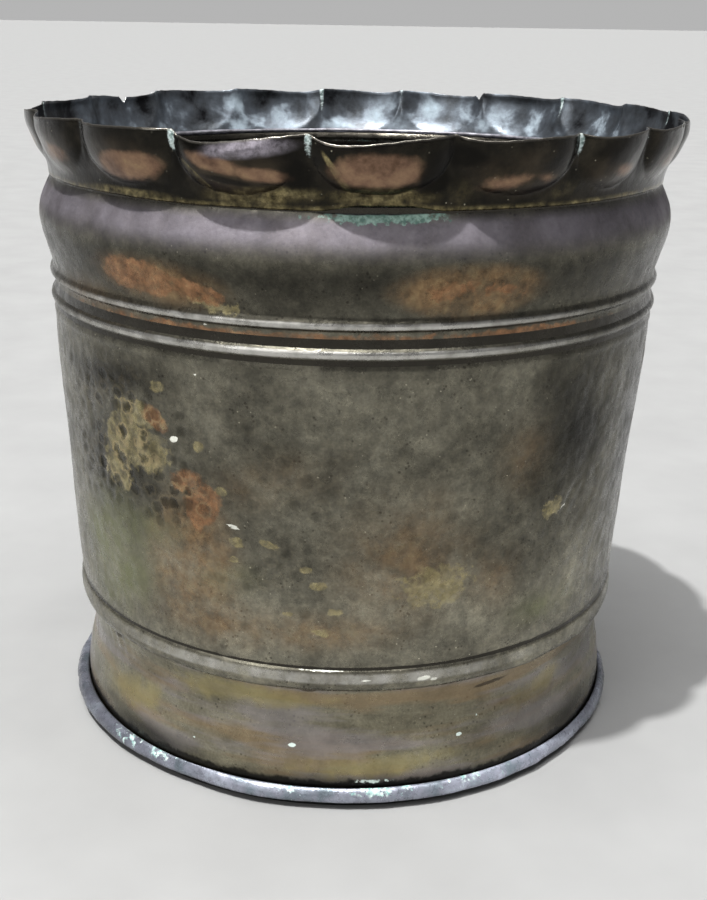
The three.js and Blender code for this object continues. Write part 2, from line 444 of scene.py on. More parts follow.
PAINT_SPECKS_AND_BEAD_GLINT = [
    # The first is a painted highlight, a thin white line along the top of the low bead; the rest are
    # specks of white paint.
    (-4, 66.4, 6.0, 0.5, 0.02, 0.5),
    (-31, 163, 1.25, 1.6, 0.3, 1.0),
    (-20, 129, 1.7, 1.1, -0.2, 1.0),
    (-26, 192, 0.6, 0.9, 0.0, 1.0),
    (-24, 213, 0.5, 0.6, 0.0, 1.0),
    (42, 129.5, 1.9, 0.7, 0.9, 0.9),
    (14.5, 62, 1.6, 1.2, 0.2, 0.9),
    (16.5, 61, 0.9, 0.9, 0.0, 0.8),
    (4, 62.5, 1.3, 0.6, 0.0, 0.6),
    (128, 88, 1.2, 1.4, 0.0, 0.9),
    (214, 181, 0.9, 1.3, 0.0, 0.9),
]
# Verdigris at the neck, and painted black shade in the gap between it and the collar.
NECK_CRUST = [(4, 257, 12, 3.6, 0.0, 1.1), (180, 256, 9, 3, 0.0, 0.8)]
NECK_GAP_SHADE = [(2, 260.2, 18, 3.4, 0.0, 1.8)]
# Broad darker and lighter areas of the skin: mostly its tarnish, but the dark band at height 233 under
# the bulge and the dark right shoulder are painted shade, and the light area on the lit shoulder at
# height 251 is a painted highlight.
DARK_TONE_AND_SHADE_AREAS = [
    (44, 166, 20, 52, 0.0, 0.95),
    (68, 150, 18, 120, 0.0, 0.85),
    (38, 122, 15, 34, 0.0, 0.4),
    (-46, 184, 20, 13, 0.2, 1.0),
    (-46, 146, 18, 44, 0.2, 0.7),
    (-33, 128, 7, 14, 0.6, 0.35),
    (-12, 166, 12, 12, 0.0, 0.35),
    (-3, 176, 9, 8, 0.2, 0.25),
    (-10, 124, 7, 10, 0.0, 0.3),
    (4, 120, 8, 7, 0.0, 0.22),
    (-14, 233, 100, 9, 0.0, 0.35),
    (-58, 205, 20, 8, 0.0, 0.3),
    (56, 250, 24, 18, 0.0, 0.3),
    (84, 140, 18, 90, 0.1, 0.35),
    (118, 150, 24, 40, 0.2, 0.6),
    (176, 205, 30, 20, 0.0, 0.4),
    (222, 150, 22, 40, 0.0, 0.6),
    (-95, 110, 18, 36, 0.0, 0.4),
]
LIGHT_TONE_AND_HIGHLIGHT_AREAS = [
    (-46, 104, 28, 40, 0.0, 0.4),
    (-20, 80, 46, 24, 0.0, 0.42),
    (14, 88, 20, 26, 0.0, 0.3),
    (2, 194, 26, 8, 0.0, 0.3),
    (-12, 211, 70, 5, 0.0, 0.6),
    (-10, 251, 40, 14, 0.0, 0.3),
    (150, 100, 28, 40, 0.0, 0.4),
    (200, 80, 30, 24, 0.0, 0.3),
    (-120, 170, 24, 34, 0.0, 0.3),
]
# Painted light on the drum, by height: lighter low down as a painted reflection of the floor, and painted
# shade under the shoulder's bulge and at the neck.
DRUM_PAINTED_LIGHT = [
    (56, 1.55), (80, 1.64), (120, 1.24), (150, 1.1), (196, 1.05), (204, 0.85), (220, 0.66), (238, 0.6),
    (246, 1.0), (256, 0.9), (263, 0.5),
]


def bead_painted_highlight(angle, height):
    """Painted highlights on the bead crests: the twin beads, brightest just left of the front, and a
    duller low bead.
    """
    front = 0.35 + 0.65 * smoothstep(np.abs(turn_from(angle, -8)), 62, 16)
    twin = smoothstep(twin_beads(height), 0.35, 1.15)
    low = 0.7 * smoothstep(np.abs(height - 63), 3.6, 1.4)
    return (twin + low) * front


def drum_tone_and_painted_light(angle, height):
    """How light the skin is: a painted floor reflection low down, painted shade from the twin beads up to
    the shoulder, and broad areas of tone, shade and highlight.
    """
    dark = np.clip(ovals(angle, height, DARK_TONE_AND_SHADE_AREAS), 0, 1)
    light = np.clip(ovals(angle, height, LIGHT_TONE_AND_HIGHLIGHT_AREAS), 0, 1)
    tone = smooth_curve(DRUM_PAINTED_LIGHT, height)
    return np.clip(tone * (1 - dark) * (1 + light), 0.2, 1.7)


def make_drum(material):
    angle = front_loaded_angles(470)
    height = drum_rows()[:, None] * np.ones_like(angle)
    radius, inside = drum_radius(angle, height)
    inner_height = np.linspace(NECK_FLANGE_TOP, DRUM_BOTTOM + 0.1, 26)[:, None] * np.ones_like(angle)
    inner_radius = drum_radius(angle, inner_height)[0] - SHEET
    values = {
        "copper": (ovals(angle, height, COPPER_ON_DRUM), -1),
        "warm": (ovals(angle, height, WARM_ON_DRUM), -1),
        "green": (ovals(angle, height, GREEN_ON_DRUM), -1),
        "dimpled": (np.clip(ovals(angle, height, DIMPLES_ON_DRUM), 0, 1), 0),
        "olive": (ovals(angle, height, OLIVE_ON_DRUM), -1),
        "speck": (ovals(angle, height, PAINT_SPECKS_AND_BEAD_GLINT), -1),
        "mark": (inside, 0),
        "beaten": (0.25 + 0.75 * smoothstep(height, 66, 76) * smoothstep(height, 199, 188), 0.4),
        # dust on top of the shoulder, its band also a painted sheen where the lamp falls
        "dust_and_sheen": (smoothstep(height, 239, 249) * smoothstep(height, 258, 254), 0),
        # painted highlight along the bead crests
        "crest_highlight": (bead_painted_highlight(angle, height), 0),
        # painted light and shade by height and area, with the skin's tone; the inside darker
        "tone": (drum_tone_and_painted_light(angle, height), 0.6),
        "crust": (ovals(angle, height, NECK_CRUST), -1),
        # painted black shade in the gap under the collar
        "gap": (ovals(angle, height, NECK_GAP_SHADE), -1),
        "lining": (0, 1),
    }
    piece = ring_mesh("drum_sheet", angle, [(radius, height), (inner_radius, inner_height)], values)
    return finish_piece(piece, "drum", material)


# --- The crimped collar -----------------------------------------------------------------------

COLLAR_OUTLINE = [
    (COLLAR_BOTTOM, 140.5), (261.5, 140.8), (264.5, 141.5), (268.0, 142.7), (274.0, 144.0),
    (280.0, 145.2), (RIM_HEIGHT, 146.0),
]


def bays(angle):
    """Which bay each angle is in, and how far across that bay it is from 0 to 1."""
    starts = np.array(PINCHES)
    turned = (angle - starts[0]) % 360
    offsets = (starts - starts[0]) % 360
    index = np.searchsorted(offsets, turned, side="right") - 1
    ends = np.append(offsets[1:], 360)
    return index, (turned - offsets[index]) / (ends[index] - offsets[index])


def rim_height(angle):
    """Height of the collar's free edge: high at each pinch, lowest a quarter of the way on."""
    index, across = bays(angle)
    dip = np.array(EDGE_DIPS)[index]
    sag = across / LOWEST_ACROSS * np.exp(1 - across / LOWEST_ACROSS)
    sag = sag - across / LOWEST_ACROSS * math.exp(1 - 1 / LOWEST_ACROSS)
    lift = 0.9 * soft_noise(angle, np.zeros_like(angle), 18, 60, 41)
    ragged = 0.18 * rough_noise(angle, np.zeros_like(angle), 300, 40, 42)
    notches = 0
    for place, deep, half_width in RIM_NOTCHES:
        notches = notches + deep * np.clip(1 - np.abs(turn_from(angle, place)) / half_width, 0, 1)
    return RIM_HEIGHT - dip * sag + lift * 0.6 + ragged - notches


def collar_radius(angle, share, height):
    """Outer radius of the collar at a share of its way up, from 0 at the neck to 1 at the rim."""
    index, across = bays(angle)
    depth = np.array(BAY_DEPTHS)[index]
    lip = np.array(LIP_ROLLS)[index]
    scoop = ((across - 0.5) / 0.49) ** 2 + ((share - 0.84) / 0.66) ** 2
    bulge = depth * np.clip(1 - scoop, 0, 1) ** 0.7 * (0.5 + 0.5 * share)
    roll = lip * smoothstep(share, 0.72, 1.05) ** 1.5 * np.sin(math.pi * across)
    nearest = np.minimum(across, 1 - across) * BAY_DEG
    rib = 0.85 * np.exp(-((nearest / 0.55) ** 2)) * smoothstep(share, 0.35, 0.9)
    valley = 0.9 * np.exp(-((nearest / 1.9) ** 2)) * smoothstep(share, 0.2, 0.8)
    lap = turn_from(angle, SEAM_DEG)
    step = 0.85 * smoothstep(lap, -0.15, 0.15) * smoothstep(lap, 12, 2)
    dents = 0.35 * soft_noise(angle, height, 52, 11, 43) + 0.12 * rough_noise(angle, height, 160, 5, 44)
    dents = dents * smoothstep(share, 0.05, 0.3)
    return smooth_curve(COLLAR_OUTLINE, height) + bulge - roll + rib - valley + step + dents


def collar_bottom(angle):
    """Height of the lower edge: it stands off the neck in front, and is a little uneven."""
    gap = 2.0 * smoothstep(np.abs(turn_from(angle, 4)), 10, 3)
    return COLLAR_BOTTOM + gap + 0.25 * soft_noise(angle, np.zeros_like(angle), 40, 60, 45)


# Marks on the collar, each (angle, height, half width, half height, slant, strength).
WORN_ON_COLLAR = [
    (-36.5, 271.5, 8.5, 7.5, 0.1, 1.2),
    (-20.5, 275, 6.0, 4.6, -0.5, 1.0),
    (-14, 271.5, 6.5, 4.0, -0.3, 0.9),
    (2.8, 274, 8.5, 8.4, 0.0, 1.2),
    (22, 269.5, 6.5, 5.0, 0.3, 0.55),
    (29, 270.5, 4.0, 3.6, -0.4, 0.4),
    (45, 271, 5, 5, 0.0, 0.5),
    (-57, 272, 6, 6, 0.0, 0.7),
    (62, 273, 7, 6, 0.0, 1.0),
    (102, 272, 8, 6, 0.1, 0.9),
    (121, 274, 6, 5, 0.0, 0.6),
    (160, 272, 8, 6, -0.1, 1.1),
    (198, 272, 7, 6, 0.0, 0.9),
    (238, 273, 8, 6, 0.1, 1.0),
    (259, 271, 7, 5, 0.0, 0.6),
    (281, 273, 7, 6, 0.0, 1.1),
]
# Painted highlights along the ridges beside the pinches; the low wide ones widen the olive band at the
# bottom.
RIDGE_HIGHLIGHTS_AND_BAND_ON_COLLAR = [
    (-24.2, 270, 3.2, 2.4, -2.3, 2.0),
    (-2.6, 271.5, 2.8, 2.8, -3.6, 2.0),
    (-14, 263.5, 12, 4.5, 0.1, 1.0),
    (4, 264.0, 10, 5.0, 0.0, 1.1),
    (15.5, 265, 3.0, 8, -0.6, 0.25),
    (33, 264, 5, 6, 0.2, 0.25),
    (-40, 260.5, 14, 2.4, 0.0, 0.8),
    (118, 270, 3, 2.2, -2.3, 0.9),
    (174, 270, 3, 2.2, -2.3, 0.9),
    (253, 270, 3, 2.2, -2.3, 0.9),
]
SHADOWS_ON_COLLAR = [
    (-36, 263.8, 10, 2.4, 0.1, 1.0),
    (-27.5, 275, 2.2, 12, 0.0, 0.8),
    (-19, 268.8, 7, 2.0, -0.4, 1.0),
    (-8.5, 271, 3.6, 9, 0.0, 1.0),
    (0.5, 264.5, 3, 2.6, 0.0, 0.6),
    (11, 272, 3.2, 12, 0.0, 1.2),
    (15, 279, 4.5, 7, -0.4, 1.0),
    (30, 276, 6, 9, 0.0, 0.7),
    (44, 278, 9, 8, 0.0, 0.9),
    (58, 274, 8, 12, 0.0, 0.7),
    (-50, 270, 5, 12, 0.5, 0.8),
    (91, 276, 4, 10, 0.0, 0.8),
    (132, 274, 5, 10, 0.0, 0.8),
    (188, 274, 5, 11, 0.0, 0.8),
    (248, 276, 4, 10, 0.0, 0.8),
]
# Painted light: lilac lips lit from above.
LILAC_SHEEN_ON_COLLAR = [
    (-15.5, 280.8, 8.5, 4.4, 0.25, 1.3),
    (150, 282, 7, 3, 0.0, 0.9),
    (270, 282, 7, 3, 0.0, 0.9),
]
# Chalky patches inside, mostly low down and beside a pinch.
CHALK_INSIDE = [
    (208, 270, 5, 13, 0.6, 1.1),
    (197, 270, 5, 10, -0.6, 0.7),
    (186, 268, 7, 8, 0.3, 1.0),
    (176, 274, 5, 10, -1.0, 1.2),
    (164, 272, 5, 12, 0.4, 1.1),
    (155, 275, 4, 8, 0.0, 0.7),
    (147, 270, 5, 9, 0.3, 0.9),
    (134, 272, 5, 10, -0.4, 0.8),
    (224, 272, 5, 11, 0.4, 0.9),
    (240, 270, 6, 10, 0.0, 0.6),
    (120, 272, 6, 10, 0.0, 0.5),
]


def make_collar(material):
    angle = even_angles(1260)
    share = np.concatenate([np.linspace(0, 0.25, 7)[:-1], np.linspace(0.25, 1, 25)])[:, None]
    inner_share = np.linspace(1, 0, 22)[:, None]
    low = collar_bottom(angle)
    high = rim_height(angle)
    height = low + share * (high - low)
    inner_height = low + inner_share * (high - low)
    radius = collar_radius(angle, share, height)
    inner_radius = collar_radius(angle, inner_share, inner_height) - COLLAR_SHEET
    # The rim's edge is rounded over.
    inner_height[0] += 0.05
    radius[-1] -= 0.12
    edge_height = height[-1:] + 0.22
    edge_radius = (radius[-1:] + inner_radius[:1]) / 2
    index, across = bays(angle)
    near = (index + (across > 0.5)) % len(PINCHES)
    nearest = np.minimum(across, 1 - across) * BAY_DEG
    pinch = np.exp(-((nearest / 0.75) ** 2)) * np.array(CRUSTED)[near]
    values = {
        "worn": (ovals(angle, height, WORN_ON_COLLAR), -1, -1),
        # the olive band at the bottom, and painted highlights along the ridges
        "band": (np.maximum(0.8 - share / 0.12, ovals(angle, height, RIDGE_HIGHLIGHTS_AND_BAND_ON_COLLAR)), -1, -1),
        # painted reflection: a lighter oval in the middle of each bay
        "bay_reflection": (1 - np.hypot((across - 0.5) / 0.5, (share - 0.5) / 0.45), -1, -1),
        "shadow": (ovals(angle, height, SHADOWS_ON_COLLAR), -1, -1),
        # painted light on lips lit from above
        "lilac_dust_and_sheen": (ovals(angle, height, LILAC_SHEEN_ON_COLLAR), -1, -1),
        "chalk": (0, 0, ovals(angle, inner_height, CHALK_INSIDE)),
        "crust": (pinch * smoothstep(share, 0.5, 0.9), 0, pinch * inner_share),
        # painted highlight along the rim's rounded edge
        "edge": (smoothstep(share, 0.975, 1.0), 1, 0),
        "lining": (0, 0.4, 1),
    }
    blocks = [(radius, height), (edge_radius, edge_height), (inner_radius, inner_height)]
    piece = ring_mesh("crimped_collar_sheet", angle, blocks, values)
    return finish_piece(piece, "crimped_collar", material)


# --- The foot band ----------------------------------------------------------------------------

FOOT_OUTLINE = [
    (FOOT_BOTTOM + SHEET, 132.5), (12.0, 132.5), (19.0, 132.1), (27.0, 130.9), (34.0, 129.4),
    (41.0, 128.8), (47.0, 129.1), (53.0, 130.1), (FOOT_TOP, 131.2),
]


def foot_radius(angle, height):
    ripple = 0.22 * soft_noise(angle, height, 16, 7, 51) + 0.1 * rough_noise(angle, height, 60, 6, 52)
    turn = turn_from(angle, -55)
    wrinkle = 0.3 * np.sin(np.radians(turn) * 110)
    wrinkle = wrinkle * smoothstep(np.abs(turn), 8, 3) * smoothstep(height, 40, 52)
    slow = 0.35 * soft_noise(angle, height, 12, 30, 53)
    return smooth_curve(FOOT_OUTLINE, height) + ripple + wrinkle + slow + 0.6 * seam_step(angle)


# Marks on the foot, each (angle, height, half width, half height, slant, strength).
FOOT_PATCHES = [
    (-20, 49, 26, 9, 0.0, 0.9),
    (-48, 30, 16, 12, 0.2, 0.8),
    (6, 19, 24, 8, 0.1, 0.7),
    (44, 40, 14, 10, 0.2, 0.6),
    (120, 36, 26, 14, 0.1, 0.8),
    (200, 28, 22, 12, -0.1, 0.8),
    (-110, 44, 20, 10, 0.1, 0.7),
]
FOOT_SMEARS = [
    (29.5, 51, 5.0, 1.3, 0.15, 1.0),
    (-6.5, 55.5, 2.2, 1.2, 0.0, 0.9),
    (-53, 53, 3, 2, 0.3, 0.7),
    (160, 50, 6, 1.5, 0.1, 0.8),
]
FOOT_SPECKS = [
    (-9.5, 28, 0.9, 1.1, 0.0, 1.0),
    (23, 29, 0.8, 1.0, 0.0, 1.0),
    (27, 36, 0.5, 0.6, 0.0, 1.0),
    (-30, 22, 0.4, 0.5, 0.0, 1.0),
    (6, 12.0, 5, 1.8, 0.0, 0.35),
    (170, 24, 0.8, 1.0, 0.0, 1.0),
]
# Painted shade on the foot just over the hem.
FOOT_SHADE_OVER_HEM = [
    (-42, 14, 22, 9, -0.1, 1.0),
    (52, 16, 16, 10, 0.1, 1.0),
    (2, 10, 60, 6, 0.0, 0.9),
    (130, 14, 30, 8, 0.0, 1.2),
    (235, 14, 30, 8, 0.0, 1.2),
]


def foot_painted_shade(angle, height):
    """How light the foot's skin is: painted shade in the lap under the drum's low bead, over the hem and
    at the right.
    """
    shade_over_hem = np.clip(ovals(angle, height, FOOT_SHADE_OVER_HEM), 0, 0.8)
    # painted shade at the right
    right = 0.28 * smoothstep(np.abs(turn_from(angle, 46)), 30, 8) * smoothstep(height, 50, 36)
    # painted shade under the drum's low bead, where the foot tucks in
    lap = 0.45 * smoothstep(height, 54.5, 57.5)
    return (1.0 - right) * (1 - shade_over_hem) * (1 - lap)


def make_foot(material):
    angle = front_loaded_angles(560)
    height = np.linspace(FOOT_BOTTOM + SHEET, FOOT_TOP, 68)[:, None] * np.ones_like(angle)
    inner_height = np.linspace(FOOT_TOP, FOOT_BOTTOM + 0.2, 26)[:, None] * np.ones_like(angle)
    radius = foot_radius(angle, height)
    inner_radius = foot_radius(angle, inner_height) - SHEET
    flange_height = np.array([[FOOT_BOTTOM], [FOOT_BOTTOM + SHEET]]) * np.ones_like(angle)
    flange_radius = np.full_like(flange_height, FOOT_FLANGE_RADIUS)
    values = {
        "worn": (ovals(angle, height, FOOT_PATCHES), -1, -1),
        "smear": (ovals(angle, height, FOOT_SMEARS), -1, -1),
        "speck": (ovals(angle, height, FOOT_SPECKS), -1, -1),
        # painted shade over the hem, in the lap and at the right; the inside darker
        "tone": (foot_painted_shade(angle, height), 0.5, 0.5),
        # painted black shade in the crevice where the foot meets the hem
        "crevice_shade": ((14 - height) / 5, -1, -1),
        "lining": (0, 1, 1),
    }
    blocks = [(radius, height), (inner_radius, inner_height), (flange_radius, flange_height)]
    piece = ring_mesh("foot_band_sheet", angle, blocks, values)
    return finish_piece(piece, "foot_band", material)


# --- The base pan and its folded hem ----------------------------------------------------------

# From the middle of the underside round the hem and back over the floor: radius, height, and whether it
# is painted near-black as shade (the underside, under the hem and the crevice at its top).
PAN_SECTION = [
    (20, 0.0, 1), (60, 0.0, 1), (95, 0.0, 1), (120, 0.0, 1), (132.2, 0.0, 1), (133.0, 1.6, 1),
    (133.6, 3.4, 1), (134.6, 3.6, 1), (135.5, 3.8, 0), (136.2, 4.3, 0), (HEM_RADIUS + 1.0, 5.3, 0),
    (HEM_RADIUS + 0.8, 6.4, 0), (135.7, 7.5, 0), (135.0, 8.6, 0), (134.2, 9.3, 0),
    (133.6, HEM_TOP - 0.3, 0), (133.1, 9.1, 1), (132.95, 8.2, 1), (132.95, 6.1, 1), (133.8, 6.1, 1),
    (133.8, 8.7, 1), (134.5, 8.7, 1), (134.5, 4.6, 1), (133.2, 4.5, 1), (132.0, 0.8, 1), (118, 0.8, 1),
    (95, 0.8, 0), (60, 0.8, 0), (20, 0.8, 0),
]
# Painted light on the hem, by angle: a painted highlight at the front right, painted shade at the sides.
HEM_PAINTED_LIGHT = [
    (-180, 0.7), (-120, 0.8), (-90, 0.55), (-60, 0.5), (-38, 0.75), (-20, 1.0), (0, 1.05), (18, 1.1),
    (34, 1.6), (50, 1.2), (64, 0.75), (90, 0.6), (140, 0.85), (180, 0.7),
]
# Pale crust on the hem, each (angle, height, half width, half height, slant, strength).
HEM_CRUST = [
    (7, 9.5, 7, 3.5, 0.0, 0.3),
    (-10, 9.5, 3, 3, 0.0, 0.2),
    (-46, 9, 4, 3.5, 0.0, 0.3),
    (-38, 9.5, 4, 3.5, 0.0, 0.3),
    (26, 9, 6, 3, 0.0, 0.2),
    (110, 8, 12, 5, 0.0, 0.3),
    (180, 8, 8, 5, 0.0, 0.3),
    (250, 8, 8, 5, 0.0, 0.3),
]


def make_base(material):
    angle = even_angles(720)
    section = np.array(PAN_SECTION)[:, :, None] * np.ones_like(angle)
    radius, height, black_shade = section[:, 0], section[:, 1], section[:, 2]
    hem = smoothstep(radius, 133, 134.5) * smoothstep(height, 2.8, 3.6)
    top = smoothstep(height, 4.5, 8.5) * hem
    swell = 0.5 * soft_noise(angle, height, 26, 80, 61) + 0.3 * soft_noise(angle, height, 90, 80, 62)
    # The hem stands out further at the left side.
    swell = swell + 2.2 * smoothstep(np.abs(turn_from(angle, -85)), 55, 15)
    lumps = 0.16 * rough_noise(angle, height * 6, 300, 20, 63)
    radius = radius + hem * (swell + lumps)
    height = height + top * (0.4 * soft_noise(angle, height, 30, 80, 64) + lumps)
    # It hangs a little lower in front.
    height = height - 0.5 * hem * smoothstep(np.abs(turn_from(angle, 0)), 60, 30)
    floor_wave = smoothstep(radius, 110, 60) * smoothstep(height, 0.4, 0.8)
    height = height + 0.25 * floor_wave * soft_noise(angle, radius, 9, 40, 65)
    values = {
        "crust": [np.where(radius > 133, ovals(angle, height, HEM_CRUST), -1)],
        "black_shade": [black_shade],
        # painted highlight and shade on the hem, by angle
        "tone": [smooth_curve(HEM_PAINTED_LIGHT, turn_from(angle, 0))],
    }
    piece = ring_mesh("base_pan_sheet", angle, [(radius, height)], values, capped=True)
    return finish_piece(piece, "base_pan", material)


# --- Solder and braze -------------------------------------------------------------------------


def solder_ring(name, node, low, high, inner, outer, seed, material):
    """A lumpy bead of solder run round a lap, between two heights and two radii."""
    angle = even_angles(540)
    around = np.radians(np.arange(12) * 30.0)[:, None]
    lumps = 1 + 0.22 * rough_noise(angle, np.zeros_like(angle), 70, 60, seed)
    radius = (inner + outer) / 2 + np.sin(around) * (outer - inner) / 2 * lumps
    height = (low + high) / 2 - np.cos(around) * (high - low) / 2 * lumps
    piece = ring_mesh(name, angle, [(radius, height)], {})
    return finish_piece(piece, node, material)


def seam_braze(name, node, wall_radius, material):
    """A thin run of braze up the inside of a side seam: a bulging face, a face in the sheet behind
    it, and a strip round their edges."""
    low, high = (corner.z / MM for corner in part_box(node))
    height = np.linspace(low, high, 60)[:, None]
    across = np.linspace(-1, 1, 9)
    angle = SEAM_DEG + across * BRAZE_HALF_WIDTH_DEG
    wall = wall_radius(np.array([float(SEAM_DEG)]), height) - SHEET
    lumps = 1 + 0.3 * soft_noise(height, height, 40, 9, 71)
    bulge = BRAZE_DEPTH * (1 - across**2) ** 0.6 * lumps
    inside = leaning_points(angle, wall - bulge, height)
    behind = leaning_points(angle, wall + BRAZE_BACK + 0 * bulge, height)
    rows, columns = bulge.shape
    count = rows * columns
    faces = []
    for row in range(rows - 1):
        for column in range(columns - 1):
            a = row * columns + column
            b, c, d = a + 1, a + columns + 1, a + columns
            faces.append([d, c, b, a])
            faces.append([a + count, b + count, c + count, d + count])
    grid = np.arange(count).reshape(rows, columns)
    sides = [grid[0, :-1], grid[:-1, -1], grid[-1, :0:-1], grid[:0:-1, 0]]
    edge = np.concatenate(sides).tolist()
    for here, there in zip(edge, edge[1:] + edge[:1]):
        faces.append([here, there, there + count, here + count])
    piece = place_mesh(name, np.vstack([inside, behind]), faces)
    return finish_piece(piece, node, material)


# --- Materials --------------------------------------------------------------------------------


def srgb(red, green, blue):
    """A colour given as 0 to 255, as the shader's linear values."""
    parts = [part / 255 for part in (red, green, blue)]
    linear = [p / 12.92 if p <= 0.04045 else ((p + 0.055) / 1.055) ** 2.4 for p in parts]
    return (*linear, 1.0)


class Paint:
    """A material being made: its colour is laid on in layers, and the other calls add a few nodes
    and return the output to use. Colours are (red, green, blue) from 0 to 255, sizes in mm."""

    def __init__(self, name):
        self.material = bpy.data.materials.new(name)
        self.material.use_nodes = True
        self.nodes = self.material.node_tree.nodes
        self.links = self.material.node_tree.links
        self.nodes.clear()
        self.place = self.nodes.new("ShaderNodeTexCoord").outputs["Object"]
        self.colour = None

    def feed(self, socket, value):
        if isinstance(value, bpy.types.NodeSocket):
            self.links.new(value, socket)
        else:
            socket.default_value = value

    def attribute(self, name):
        node = self.nodes.new("ShaderNodeAttribute")
        node.attribute_name = name
        return node.outputs["Fac"]

    def pattern(self, kind, size, stretch, shift):
        """A texture node whose features are about size mm, moved so that no two are alike."""
        mapping = self.nodes.new("ShaderNodeMapping")
        self.feed(mapping.inputs["Vector"], self.place)
        mapping.inputs["Scale"].default_value = [1000 / size * part for part in stretch]
        mapping.inputs["Location"].default_value = shift
        node = self.nodes.new(kind)
        self.feed(node.inputs["Vector"], mapping.outputs["Vector"])
        node.inputs["Scale"].default_value = 1
        return node

    def noise(self, size, detail=3.0, rough=0.55, stretch=(1, 1, 1), shift=0.0, warp=0.0):
        """Cloudy values round 0.5."""
        node = self.pattern("ShaderNodeTexNoise", size, stretch, (shift, shift * 1.7, shift * 0.6))
        node.inputs["Detail"].default_value = detail
        node.inputs["Roughness"].default_value = rough
        node.inputs["Distortion"].default_value = warp
        return node.outputs["Fac"]

    def cells(self, size, shift=0.0):
        """Distance to the nearest of some scattered points, and a chance value for each point."""
        node = self.pattern("ShaderNodeTexVoronoi", size, (1, 1, 1), (shift, shift, shift))
        return node.outputs["Distance"], node.outputs["Color"]

    def maths(self, operation, first, second=0.0, clamp=False):
        node = self.nodes.new("ShaderNodeMath")
        node.operation = operation
        node.use_clamp = clamp
        self.feed(node.inputs[0], first)
        self.feed(node.inputs[1], second)
        return node.outputs["Value"]

    def times(self, first, second, clamp=False):
        return self.maths("MULTIPLY", first, second, clamp)

    def plus(self, value, extra, share=1.0, clamp=False):
        """The value with a share of something extra added."""
        if share != 1.0:
            extra = self.times(extra, share)
        return self.maths("ADD", value, extra, clamp)

    def remap(self, value, low, high, start=0.0, end=1.0):
        """value from low to high becomes start to end, smoothly, and stays there beyond."""
        node = self.nodes.new("ShaderNodeMapRange")
        node.interpolation_type = "SMOOTHSTEP"
        self.feed(node.inputs["Value"], value)
        node.inputs["From Min"].default_value = low
        node.inputs["From Max"].default_value = high
        node.inputs["To Min"].default_value = start
        node.inputs["To Max"].default_value = end
        return node.outputs["Result"]

    def cover(self, share, tint, most=1.0, how="MIX"):
        """Lays a tint over the colour by a share, which is weakened to most where it is full."""
        node = self.nodes.new("ShaderNodeMix")
        node.data_type = "RGBA"
        node.blend_type = how
        self.feed(node.inputs["Factor"], share if most == 1.0 else self.times(share, most))
        # This node names all its inputs alike: 6, 7 and output 2 are the ones for colours.
        self.feed(node.inputs[6], self.colour)
        self.feed(node.inputs[7], srgb(*tint) if isinstance(tint, tuple) else tint)
        self.colour = node.outputs[2]

    def ramp(self, value, *stops):
        """Colours by value. A stop is (place from 0 to 1, red, green, blue)."""
        node = self.nodes.new("ShaderNodeValToRGB")
        self.feed(node.inputs["Fac"], value)
        elements = node.color_ramp.elements
        while len(elements) < len(stops):
            elements.new(0.5)
        for element, (place, *colour) in zip(elements, stops):
            element.position = place
            element.color = srgb(*colour)
        return node.outputs["Color"]

    def patch(self, name, size, uneven=0.5, crisp=0.14, shift=0.0):
        """A stored patch with a broken edge: 1 inside, 0 outside."""
        edge = self.noise(size, detail=5, rough=0.62, shift=shift)
        wander = self.maths("SUBTRACT", edge, 0.5)
        value = self.plus(self.attribute(name), wander, 2 * uneven)
        return self.remap(value, 0.12, 0.12 + crisp)

    def soft_patch(self, name, size, most):
        """A stored patch that fades out slowly and unevenly, up to a strength."""
        wander = self.remap(self.noise(size, detail=7, rough=0.66, shift=17), 0.3, 0.7, 0.35, 1.3)
        share = self.times(self.remap(self.attribute(name), 0.0, 0.7), wander)
        return self.times(share, most, clamp=True)

    def tone(self, name):
        """Makes the colour lighter or darker by a stored share of painted light, shade and tone, with a
        broken edge to each area.
        """
        wander = self.remap(self.noise(16, detail=6, rough=0.65, shift=15), 0.3, 0.7, 0.84, 1.16)
        node = self.nodes.new("ShaderNodeVectorMath")
        node.operation = "SCALE"
        self.feed(node.inputs[0], self.colour)
        self.feed(node.inputs["Scale"], self.times(self.attribute(name), wander))
        self.colour = node.outputs["Vector"]

    def bump(self, height, depth, over=None):
        """A normal from a height: depth is how many mm a height of 1 stands out."""
        node = self.nodes.new("ShaderNodeBump")
        node.inputs["Strength"].default_value = 1.0
        node.inputs["Distance"].default_value = depth * MM
        self.feed(node.inputs["Height"], height)
        if over is not None:
            self.feed(node.inputs["Normal"], over)
        return node.outputs["Normal"]

    def finish(self, metallic, roughness, normal=None):
        shader = self.nodes.new("ShaderNodeBsdfPrincipled")
        self.feed(shader.inputs["Base Color"], self.colour)
        self.feed(shader.inputs["Metallic"], metallic)
        self.feed(shader.inputs["Roughness"], roughness)
        if normal is not None:
            self.feed(shader.inputs["Normal"], normal)
        output = self.nodes.new("ShaderNodeOutputMaterial")
        self.links.new(shader.outputs["BSDF"], output.inputs["Surface"])
        return self.material


